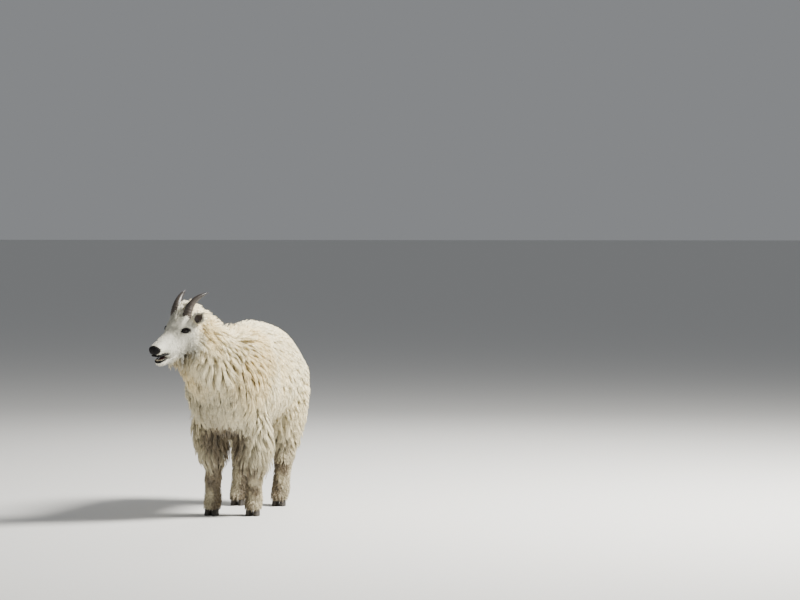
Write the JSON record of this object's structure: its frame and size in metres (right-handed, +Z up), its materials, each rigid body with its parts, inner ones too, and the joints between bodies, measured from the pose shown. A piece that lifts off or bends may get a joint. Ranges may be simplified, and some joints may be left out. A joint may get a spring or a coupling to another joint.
{
  "type": "mountain goat",
  "caption": "Still life-size model of a standing mountain goat: shaggy coat on chest and legs, turned head, short horns, cloven hooves.",
  "frame": {"origin": "on the floor, under the middle of the model's outline box", "axes": "+Z up; the body lies along Y with the chest towards -Y and the tail towards +Y; the goat's left side is +X"},
  "size_m": [0.4578, 1.2862, 1.0824],
  "materials": {
    "coat": "long shaggy off-white wool with cream and yellowish patches",
    "face_fur": "short dense greyish-white fur",
    "leg_wool": "short dense wool, soiled brownish towards the front and the hooves",
    "ear": "short white fur outside, dark brown-grey inside",
    "nose_skin": "moist black bare skin",
    "tongue": "moist pink-grey skin",
    "eye": "wet dark brown, glossy",
    "horn": "grey-brown keratin with growth rings, near-black smooth tips",
    "hoof": "dull black-brown keratin"
  },
  "bodies": {
    "root": {"shoulders": "coat", "barrel": "coat", "rump": "coat", "neck": "coat", "tail": "coat", "head": "face_fur", "jaw": "face_fur", "nose_pad": "nose_skin", "tongue": "tongue", "ear_left": "ear", "eye_left": "eye", "horn_left": "horn", "ear_right": "ear", "eye_right": "eye", "horn_right": "horn", "leg_fore_left_upper": "coat", "leg_fore_left_lower": "leg_wool", "hoof_fore_left_outer": "hoof", "hoof_fore_left_inner": "hoof", "leg_fore_right_upper": "coat", "leg_fore_right_lower": "leg_wool", "hoof_fore_right_outer": "hoof", "hoof_fore_right_inner": "hoof", "leg_hind_left_upper": "coat", "leg_hind_left_lower": "leg_wool", "hoof_hind_left_outer": "hoof", "hoof_hind_left_inner": "hoof", "leg_hind_right_upper": "coat", "leg_hind_right_lower": "leg_wool", "hoof_hind_right_outer": "hoof", "hoof_hind_right_inner": "hoof"}
  },
  "joints": []
}
